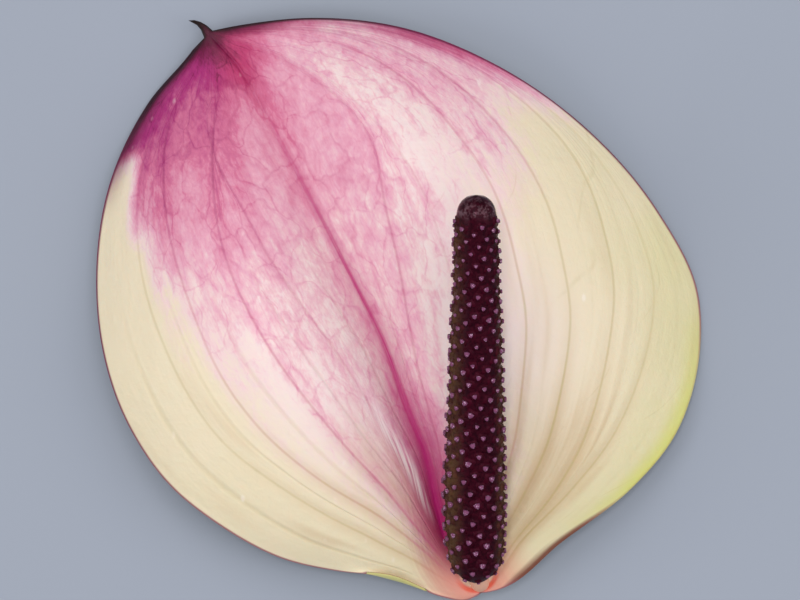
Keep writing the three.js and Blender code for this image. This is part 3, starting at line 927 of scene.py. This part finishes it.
class Growth:
    # short hand for building the spadix's geometry tree
    def __init__(self, name, namedInputs):
        self.tree = bpy.data.node_groups.new(name, "GeometryNodeTree")
        face = self.tree.interface
        face.new_socket("Geometry", in_out="INPUT", socket_type="NodeSocketGeometry")
        self.settings = {}  # socket identifier to value
        for label, (kind, value) in namedInputs.items():
            socket = face.new_socket(label, in_out="INPUT", socket_type=kind)
            socket.default_value = value
            self.settings[socket.identifier] = value
        face.new_socket("Geometry", in_out="OUTPUT", socket_type="NodeSocketGeometry")
        self.given = self.make("NodeGroupInput").outputs
        self.result = self.make("NodeGroupOutput").inputs

    def make(self, kind, **values):
        node = self.tree.nodes.new(kind)
        for key, value in values.items():
            setattr(node, key, value)
        return node

    def join(self, a, b):
        self.tree.links.new(a, b)

    def put(self, socket, value):
        if isinstance(value, bpy.types.NodeSocket):
            self.join(value, socket)
        else:
            socket.default_value = value

    def calc(self, kind, a, b=0.0):
        node = self.make("ShaderNodeMath", operation=kind)
        self.put(node.inputs[0], a)
        self.put(node.inputs[1], b)
        return node.outputs[0]

    def vectorCalc(self, kind, a, b):
        node = self.make("ShaderNodeVectorMath", operation=kind)
        self.put(node.inputs[0], a)
        self.put(node.inputs[1], b)
        return node.outputs["Value" if kind == "DOT_PRODUCT" else "Vector"]

    def scaled(self, vector, size):
        node = self.make("ShaderNodeVectorMath", operation="SCALE")
        self.put(node.inputs[0], vector)
        self.put(node.inputs["Scale"], size)
        return node.outputs["Vector"]

    def unit(self, vector):
        node = self.make("ShaderNodeVectorMath", operation="NORMALIZE")
        self.join(vector, node.inputs[0])
        return node.outputs["Vector"]

    def random(self, low, high, seed):
        node = self.make("FunctionNodeRandomValue", data_type="FLOAT")
        self.put(node.inputs[2], low)
        self.put(node.inputs[3], high)
        self.put(node.inputs["Seed"], seed)
        return node.outputs[1]

    def store(self, geometry, name, value, domain):
        node = self.make("GeometryNodeStoreNamedAttribute", data_type="FLOAT", domain=domain)
        node.inputs["Name"].default_value = name
        self.join(geometry, node.inputs["Geometry"])
        self.join(value, node.inputs["Value"])
        return node.outputs[0]


def radiusAt(g, cfg, place):
    # the core's radius in metres, read off a curve through the rows
    curve = g.make("ShaderNodeFloatCurve")
    mapping = curve.mapping
    mapping.use_clip = False
    points = mapping.curves[0].points
    biggest = max(r for _, r in cfg["radii"])
    rows = [(p, r / biggest) for p, r in cfg["radii"]]
    points[0].location, points[1].location = rows[0], rows[-1]
    for row in rows[1:-1]:
        points.new(*row)
    mapping.update()
    g.join(place, curve.inputs["Value"])
    return g.calc("MULTIPLY", g.calc("MULTIPLY", curve.outputs[0], biggest * mm), g.given["Thickness"])


def growCore(g, cfg):
    # the fleshy core, swept along the axis
    resample = g.make("GeometryNodeResampleCurve")
    resample.inputs["Count"].default_value = cfg["coreSteps"]
    g.join(g.given["Geometry"], resample.inputs["Curve"])
    place = g.make("GeometryNodeSplineParameter").outputs["Factor"]
    setRadius = g.make("GeometryNodeSetCurveRadius")
    g.join(g.store(resample.outputs[0], "upSpadix", place, "POINT"), setRadius.inputs["Curve"])
    g.join(radiusAt(g, cfg, place), setRadius.inputs["Radius"])
    ring = g.make("GeometryNodeCurvePrimitiveCircle")
    ring.inputs["Resolution"].default_value = cfg["coreSides"]
    ring.inputs["Radius"].default_value = 1.0
    sweep = g.make("GeometryNodeCurveToMesh")
    g.join(setRadius.outputs[0], sweep.inputs["Curve"])
    g.join(ring.outputs[0], sweep.inputs["Profile Curve"])
    sweep.inputs["Fill Caps"].default_value = True
    g.join(g.make("GeometryNodeInputRadius").outputs[0], sweep.inputs["Scale"])
    return sweep.outputs[0]


def growFlorets(g, cfg, floret):
    # florets, each one golden turn further round and a little further up
    points = g.make("GeometryNodePoints")
    g.join(g.given["Florets"], points.inputs["Count"])
    index = g.make("GeometryNodeInputIndex").outputs[0]
    share = g.calc("DIVIDE", g.calc("ADD", index, 0.5), g.given["Florets"])
    reach = g.calc("SUBTRACT", g.given["Last Floret"], g.given["First Floret"])
    place = g.calc("ADD", g.given["First Floret"], g.calc("MULTIPLY", share, reach))
    sample = g.make("GeometryNodeSampleCurve", mode="FACTOR")
    g.join(g.given["Geometry"], sample.inputs["Curves"])
    g.join(place, sample.inputs["Factor"])
    tangent = sample.outputs["Tangent"]
    sideX = (1.0, 0.0, 0.0)
    along = g.scaled(tangent, g.vectorCalc("DOT_PRODUCT", sideX, tangent))
    aside = g.unit(g.vectorCalc("SUBTRACT", sideX, along))
    upward = g.vectorCalc("CROSS_PRODUCT", tangent, aside)
    angle = g.calc("MULTIPLY", index, g.given["Turn"])
    outward = g.vectorCalc(
        "ADD", g.scaled(aside, g.calc("COSINE", angle)), g.scaled(upward, g.calc("SINE", angle)))
    radius = radiusAt(g, cfg, place)
    setPlace = g.make("GeometryNodeSetPosition")
    g.join(points.outputs[0], setPlace.inputs["Geometry"])
    where = g.vectorCalc("ADD", sample.outputs["Position"], g.scaled(outward, radius))
    g.join(where, setPlace.inputs["Position"])
    instances = g.make("GeometryNodeInstanceOnPoints")
    g.join(setPlace.outputs[0], instances.inputs["Points"])
    g.join(floretTurn(g, cfg, place, outward, tangent), instances.inputs["Rotation"])
    shapeInfo = g.make("GeometryNodeObjectInfo")
    shapeInfo.inputs["Object"].default_value = floret
    shapeInfo.inputs["As Instance"].default_value = True
    g.join(shapeInfo.outputs["Geometry"], instances.inputs["Instance"])
    grown = g.calc("POWER", g.calc("DIVIDE", radius, cfg["fullSizeRadius"] * mm), cfg["sizePower"])
    spread = g.given["Size Spread"]
    variation = g.random(g.calc("SUBTRACT", 1.0, spread), g.calc("ADD", 1.0, spread), g.given["Seed"])
    size = g.calc("MULTIPLY", g.calc("MULTIPLY", grown, g.given["Floret Size"]), variation)
    g.join(size, instances.inputs["Scale"])
    # each floret keeps its own tone and its place up the spadix
    toned = g.store(instances.outputs[0], "floretTone", g.random(0.0, 1.0, cfg["seed"] + 1), "INSTANCE")
    return g.store(toned, "upSpadix", place, "INSTANCE")


def floretTurn(g, cfg, place, outward, tangent):
    # a floret faces outwards, leans with the slope of the core and is turned a little at random
    step = cfg["slopeStep"]
    behind = radiusAt(g, cfg, g.calc("SUBTRACT", place, step))
    ahead = radiusAt(g, cfg, g.calc("ADD", place, step))
    lean = g.calc("MULTIPLY", g.calc("SUBTRACT", behind, ahead), 1.0 / (2 * step * cfg["length"] * mm))
    facing = g.unit(g.vectorCalc("ADD", outward, g.scaled(tangent, lean)))
    alignOut = g.make("FunctionNodeAlignRotationToVector", axis="Z")
    g.join(facing, alignOut.inputs["Vector"])
    alignUp = g.make("FunctionNodeAlignRotationToVector", axis="X", pivot_axis="Z")
    g.join(alignOut.outputs[0], alignUp.inputs["Rotation"])
    g.join(tangent, alignUp.inputs["Vector"])
    most = math.radians(cfg["spinSpread"])
    spin = g.make("FunctionNodeAxisAngleToRotation")
    spin.inputs["Axis"].default_value = (0.0, 0.0, 1.0)
    g.join(g.random(-most, most, cfg["seed"] + 2), spin.inputs["Angle"])
    spun = g.make("FunctionNodeRotateRotation", rotation_space="LOCAL")
    g.join(alignUp.outputs[0], spun.inputs[0])
    g.join(spin.outputs[0], spun.inputs[1])
    return spun.outputs[0]


def spadixTree(cfg, floret, material):
    g = Growth("spadixGrowth", {
        "Florets": ("NodeSocketInt", cfg["florets"]),
        "Turn": ("NodeSocketFloat", math.radians(cfg["turn"])),
        "First Floret": ("NodeSocketFloat", cfg["firstFloret"]),
        "Last Floret": ("NodeSocketFloat", cfg["lastFloret"]),
        "Floret Size": ("NodeSocketFloat", cfg["floretSize"]),
        "Size Spread": ("NodeSocketFloat", cfg["sizeSpread"]),
        "Thickness": ("NodeSocketFloat", 1.0),
        "Seed": ("NodeSocketInt", cfg["seed"]),
    })
    gather = g.make("GeometryNodeJoinGeometry")
    g.join(growCore(g, cfg), gather.inputs[0])
    g.join(growFlorets(g, cfg, floret), gather.inputs[0])
    realize = g.make("GeometryNodeRealizeInstances")
    g.join(gather.outputs[0], realize.inputs[0])
    paint = g.make("GeometryNodeSetMaterial")
    paint.inputs["Material"].default_value = material
    g.join(realize.outputs[0], paint.inputs[0])
    g.join(paint.outputs[0], g.result[0])
    return g


def makeSpadix(cfg, material):
    curve = bpy.data.curves.new("spadixAxis", "CURVE")
    curve.dimensions = "3D"
    spline = curve.splines.new("BEZIER")
    spline.bezier_points.add(len(cfg["axis"]) - 1)
    for point, place in zip(spline.bezier_points, cfg["axis"]):
        point.co = (np.array(place) + placeInRow) * mm
        point.handle_left_type = point.handle_right_type = "AUTO"
    curve.resolution_u = cfg["curveSteps"]
    axis = bpy.data.objects.new("spadixAxis", curve)
    bpy.context.scene.collection.objects.link(axis)
    floret = floretShape(floretSet)
    growth = spadixTree(cfg, floret, material)
    modifier = axis.modifiers.new("spadixGrowth", "NODES")
    modifier.node_group = growth.tree
    for identifier, value in growth.settings.items():
        modifier[identifier] = value
    bpy.context.view_layer.update()
    evaluated = axis.evaluated_get(bpy.context.evaluated_depsgraph_get())
    mesh = bpy.data.meshes.new_from_object(evaluated)
    mesh.name = "spadixSpike"
    axis.modifiers.remove(modifier)
    obj = bpy.data.objects.new("spadixSpike", mesh)
    bpy.context.scene.collection.objects.link(obj)
    mesh.shade_smooth()
    bpy.data.objects.remove(axis)
    bpy.data.objects.remove(floret)
    return obj


spadixLook = {
    # the olive is a painted reflection on the flanks, and the dome tone is partly a painted highlight
    "core": tone(28, 0, 8), "tepal": tone(50, 4, 18), "tepalRed": tone(76, 10, 32), "olive": tone(92, 66, 40),
    "stigma": tone(118, 68, 98), "stigmaTip": tone(198, 164, 188), "neck": tone(236, 178, 150),
    "domeAndHighlight": tone(122, 92, 100), "gloss": tone(226, 150, 176),
    # marks per metre
    "grain": 1400.0, "sheenMottle": 520.0, "domeMottle": 900.0, "stigmaGrains": 2600.0,
    "halfWidth": 5.6,  # mm, from the middle of the spadix to its flank
    "bumpHeight": 0.00012,
}


def spadixMaterial(look, cfg):
    n = Nodes("spadixFlesh")
    place = n.objectPlace()
    stigma, floretTone, up = n.attribute("stigma"), n.attribute("floretTone"), n.attribute("upSpadix")
    grain = n.noise(place, look["grain"], 3.0, 0.6)
    colour = n.mix(n.span(grain, 0.3, 0.7), look["core"], look["tepal"])
    colour = n.mix(n.times(floretTone, 0.4), colour, look["tepalRed"])
    # painted reflection: an olive sheen of the cream spathe down both flanks, stronger on the left
    middleX = (cfg["axis"][5][0] + placeInRow[0]) * mm
    sideways = n.math("DIVIDE", n.math("SUBTRACT", n.part(place, 0), middleX), look["halfWidth"] * mm)
    flankSheen = n.plus(n.span(sideways, -1.0, -0.3, 0.8, 0.0), n.span(sideways, 0.6, 1.0, 0.0, 0.55))
    sheenMottle = n.noise(place, look["sheenMottle"], 2.0, 0.6)
    flankSheen = n.times(flankSheen, n.span(sheenMottle, 0.3, 0.62, 0.25, 1.0), n.span(up, 0.9, 0.97, 1.0, 0.25))
    colour = n.mix(flankSheen, colour, look["olive"])
    # stigmas, speckled with pale grains
    grains = n.span(n.cells(place, look["stigmaGrains"], "F1"), 0.1, 0.42, 1.0, 0.0)
    speckled = n.times(grains, n.span(floretTone, 0.0, 1.0, 0.5, 1.0))
    stigmaTone = n.mix(speckled, look["stigma"], look["stigmaTip"])
    colour = n.mix(n.span(stigma, 0.35, 0.95), colour, stigmaTone)
    # a smooth dome at the tip, paler as its young florets are, with a mottled painted highlight, and a coral
    # neck
    domeAndHighlight = n.times(
        n.span(up, 0.952, 0.968), n.span(up, 0.974, 0.992, 1.0, 0.5),
        n.span(n.noise(place, look["domeMottle"], 2.0, 0.6), 0.44, 0.66, 0.04, 0.9), 0.6)
    colour = n.mix(domeAndHighlight, colour, look["domeAndHighlight"])
    colour = n.mix(n.span(up, 0.062, 0.072, 1.0, 0.0), colour, look["neck"])
    pores = n.times(grain, n.span(up, 0.93, 0.97, 1.0, 0.22))
    return n.finish(
        Base_Color=colour, Roughness=n.plus(n.span(up, 0.93, 0.97, 0.44, 0.12), n.times(grain, 0.12)),
        Normal=n.bump(pores, look["bumpHeight"], 0.6),
        Specular_IOR_Level=0.13, Specular_Tint=look["gloss"], Coat_Weight=0.02, Coat_Roughness=0.3,
        Subsurface_Weight=0.05, Subsurface_Radius=(0.6, 0.2, 0.3), Subsurface_Scale=0.001,
    )


stalkSet = {
    # x, y, z and radius in mm, from under the spathe down to the cut
    "rows": [
        (16.1, -54.2, 8.9, 1.6), (16.05, -53.9, 8.3, 2.5), (16.0, -53.6, 7.4, 2.95), (16.0, -53.4, 6.2, 2.75),
        (16.05, -53.1, 4.8, 2.6), (16.15, -52.7, 3.2, 2.52), (16.3, -52.3, 1.7, 2.5), (16.4, -51.9, 0.3, 2.5),
        (16.41, -51.87, 0.12, 2.42), (16.42, -51.86, 0.1, 2.1), (16.42, -51.86, 0.14, 1.2),
    ],
    "skinRows": 8,  # the rows after these are the cut face
    "cutShares": [0.6, 1, 1],
    "direction": (0.05, 0.2, -1.0),
    "sides": 72, "ribs": 11, "ribDepth": 0.05, "ribDepthOnCut": 0.01, "cutRadius": 2.5,
}


def makeStalk(cfg, material):
    rows = np.array(cfg["rows"])
    centres, radii = rows[:, :3], rows[:, 3]
    angles = np.linspace(0, math.tau, cfg["sides"], endpoint=False)
    direction = np.array(cfg["direction"])
    direction /= np.linalg.norm(direction)
    u = np.array([1.0, 0, 0]) - direction * direction[0]
    u /= np.linalg.norm(u)
    v = np.cross(direction, u)
    verts = []
    for k, (centre, radius) in enumerate(zip(centres, radii)):
        depth = cfg["ribDepth"] if k < cfg["skinRows"] else cfg["ribDepthOnCut"]
        for angle in angles:
            ribbed = radius + depth * math.cos(cfg["ribs"] * angle)
            verts.append(centre + u * ribbed * math.cos(angle) + v * ribbed * math.sin(angle))
    verts += [centres[0], centres[-1]]
    count = cfg["sides"]
    faces = ringFaces(0, len(rows), count)
    last = (len(rows) - 1) * count
    top = len(rows) * count
    for i in range(count):
        k = (i + 1) % count
        faces.append((top, k, i))
        faces.append((top + 1, last + i, last + k))
    obj = addMesh("stalkEnd", (np.array(verts) + placeInRow) * mm, faces, material)
    cutShares = [0] * cfg["skinRows"] + cfg["cutShares"]
    storeFloat(obj.data, "cutFace", np.concatenate([np.repeat(cutShares, count), [0, 1]]))
    storeFloat(obj.data, "fromPith", np.concatenate([np.repeat(radii, count) / cfg["cutRadius"], [0, 0]]))
    return obj


stalkLook = {
    "green": tone(120, 138, 66), "paleGreen": tone(164, 170, 100), "coral": tone(216, 150, 118),
    "pith": tone(222, 220, 176), "bundle": tone(150, 148, 84), "skin": tone(128, 138, 62),
    "fibres": 1500.0, "fibreStretch": (1, 1, 0.12), "bundles": 1500.0,  # per metre
    "coralFrom": 0.0055, "coralFull": 0.0095,  # metres above the surface
    "bumpHeight": 0.00012,
}


def stalkMaterial(look):
    n = Nodes("stalkSkin")
    place = n.objectPlace()
    fibres = n.noise(n.scaled(place, look["fibreStretch"]), look["fibres"], 3.0, 0.6)
    colour = n.mix(fibres, look["green"], look["paleGreen"])
    coral = n.span(n.part(place, 2), look["coralFrom"], look["coralFull"], 0.0, 0.8)
    colour = n.mix(coral, colour, look["coral"])
    bundles = n.span(n.cells(place, look["bundles"], "F1"), 0.12, 0.3, 1.0, 0.0)
    pith = n.mix(n.times(bundles, 0.6), look["pith"], look["bundle"])
    pith = n.mix(n.span(n.attribute("fromPith"), 0.8, 1.0), pith, look["skin"])
    colour = n.mix(n.attribute("cutFace"), colour, pith)
    return n.finish(
        Base_Color=colour, Roughness=n.plus(0.34, n.times(fibres, 0.2)),
        Normal=n.bump(fibres, look["bumpHeight"], 0.6), Subsurface_Weight=0.1,
        Subsurface_Radius=(0.6, 0.6, 0.3), Subsurface_Scale=0.001,
    )


stageSet = {
    "floorTone": tone(151, 157, 169), "floorSize": 6.0, "sky": tone(226, 230, 238), "skyStrength": 0.5,
    "aim": (0, 0, 0.01),  # all the lights look here
    # soft round lights: place in metres, size, power and colour
    "lights": {
        "keyLight": ((0.28, -0.08, 1.05), 0.8, 2.9, (1.0, 0.985, 0.96)),
        "farLight": ((-0.3, 0.6, 0.9), 0.8, 2.6, (1.0, 0.99, 0.98)),
        "overhead": ((-0.1, 0.1, 1.2), 0.2, 3.0, (1, 1, 1)),
        "rightFill": ((0.85, -0.1, 0.6), 0.7, 2.4, (1, 1, 1)),
        "leftFill": ((-0.8, -0.3, 0.5), 0.6, 2.4, (1, 1, 1)),
    },
}


def makeFloor(cfg):
    n = Nodes("paleFloor")
    material = n.finish(Base_Color=cfg["floorTone"], Roughness=0.8, Specular_IOR_Level=0.2)
    half = cfg["floorSize"] / 2
    corners = [(-half, -half, 0), (half, -half, 0), (half, half, 0), (-half, half, 0)]
    floor = addMesh("floor", corners, [(0, 1, 2, 3)], material)


def areaLight(name, place, target, size, power, colour):
    data = bpy.data.lights.new(name, "AREA")
    data.shape = "DISK"
    data.size = size
    data.energy = power
    data.color = colour
    light = bpy.data.objects.new(name, data)
    bpy.context.scene.collection.objects.link(light)
    light.location = place
    aim = np.array(target) - np.array(place)
    light.rotation_euler = Vector(aim).to_track_quat("-Z", "Y").to_euler()


def makeLight(cfg):
    world = bpy.data.worlds.new("softSky")
    world.use_nodes = True
    background = world.node_tree.nodes["Background"]
    background.inputs[0].default_value = cfg["sky"]
    background.inputs[1].default_value = cfg["skyStrength"]
    bpy.context.scene.world = world
    for name, (place, size, power, colour) in cfg["lights"].items():
        areaLight(name, place, cfg["aim"], size, power, colour)


placeCamera(cameraSet)
print("camera placed")
makeFloor(stageSet)
makeLight(stageSet)
print("floor and light placed")
spathe = makeSpathe(spatheSet, spatheMaterial(spatheLook))
print("spathe made:", len(spathe.data.polygons), "faces")
spadix = makeSpadix(spadixSet, spadixMaterial(spadixLook, spadixSet))
print("spadix made:", len(spadix.data.polygons), "faces")
stalk = makeStalk(stalkSet, stalkMaterial(stalkLook))
print("stalk made:", len(stalk.data.polygons), "faces")

for piece, node in ((spathe, "spathe"), (spadix, "spadix"), (stalk, "stalk")):
    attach(piece, "root")
    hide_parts(node)
